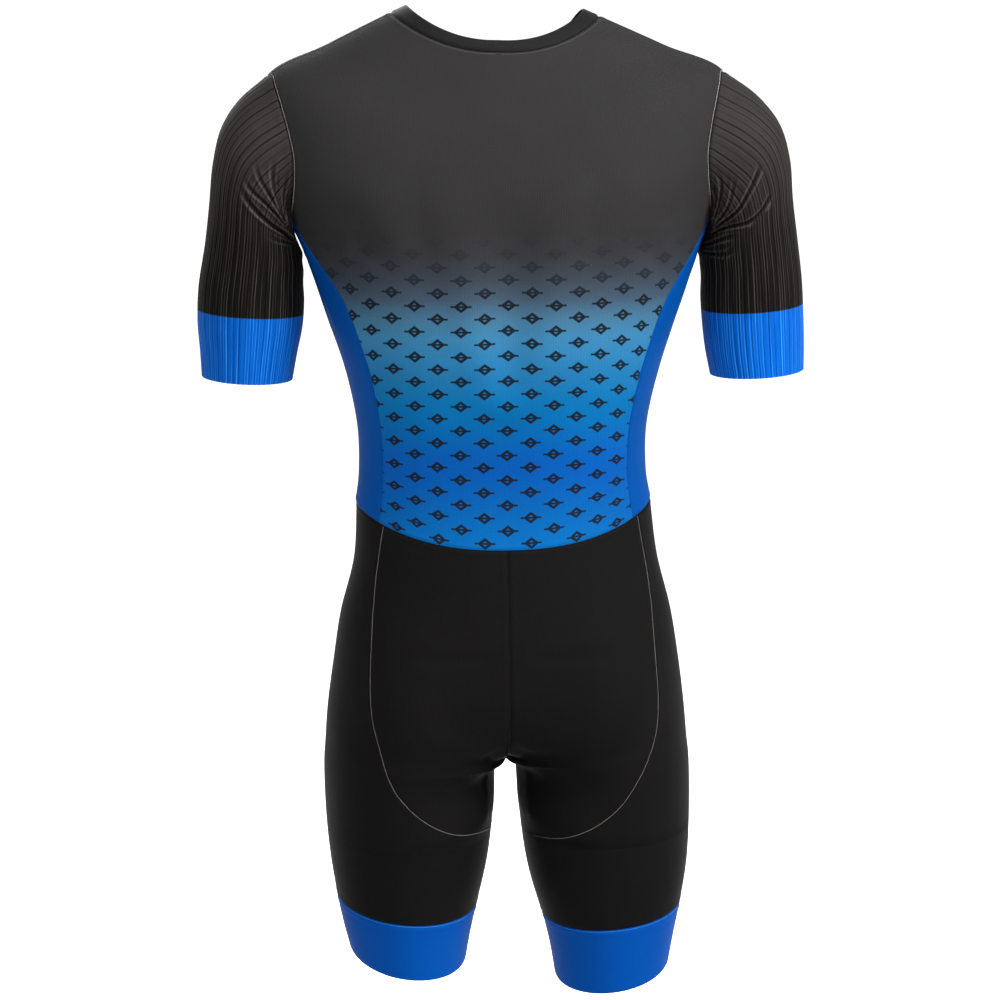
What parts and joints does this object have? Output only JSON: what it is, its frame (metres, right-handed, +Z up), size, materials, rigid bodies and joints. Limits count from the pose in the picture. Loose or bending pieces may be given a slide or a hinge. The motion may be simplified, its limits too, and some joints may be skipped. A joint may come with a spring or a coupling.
{
  "type": "speed skating suit",
  "caption": "Short-sleeved, short-legged speed skating suit standing as worn, with ribbed sleeves, seat panels, leg bands and a front zip",
  "frame": {"origin": "middle of the neck opening at the height of the neck's shoulder points", "axes": "+Z up along the wearer, +Y to the wearer's front, +X to the wearer's right"},
  "size_m": [0.5723, 0.2235, 0.9373],
  "materials": {
    "printed_back_knit": "smooth printed knit with a soft sheen, black at the shoulders fading to blue",
    "front_knit": "smooth printed knit with a soft sheen",
    "side_knit": "smooth blue knit",
    "black_knit": "smooth black knit",
    "ribbed_knit": "ribbed black knit with a blue printed end",
    "band_knit": "smooth deep blue knit",
    "zip_tape": "woven tape",
    "zip_teeth": "black moulded coil",
    "slider_metal": "black enamel"
  },
  "bodies": {
    "suit": {"back_panel": "printed_back_knit", "front_left": "front_knit", "front_right": "front_knit", "side_panel_left": "side_knit", "side_panel_right": "side_knit", "collar": "black_knit", "sleeve_left": "ribbed_knit", "sleeve_right": "ribbed_knit", "seat_left": "black_knit", "seat_right": "black_knit", "leg_left": "black_knit", "leg_right": "black_knit", "leg_band_left": "band_knit", "leg_band_right": "band_knit", "zip_tape_left": "zip_tape", "zip_tape_right": "zip_tape", "zip_chain": "zip_teeth", "zip_slider": "slider_metal"},
    "pull": {"zip_pull": "slider_metal"}
  },
  "joints": [
    {"name": "pull_hinge", "type": "hinge", "parent": "suit", "child": "pull", "pos_m": [-0.00207, 0.05394, -0.07757], "axis": [1, 0, 0], "range_deg": [0, 140]}
  ]
}
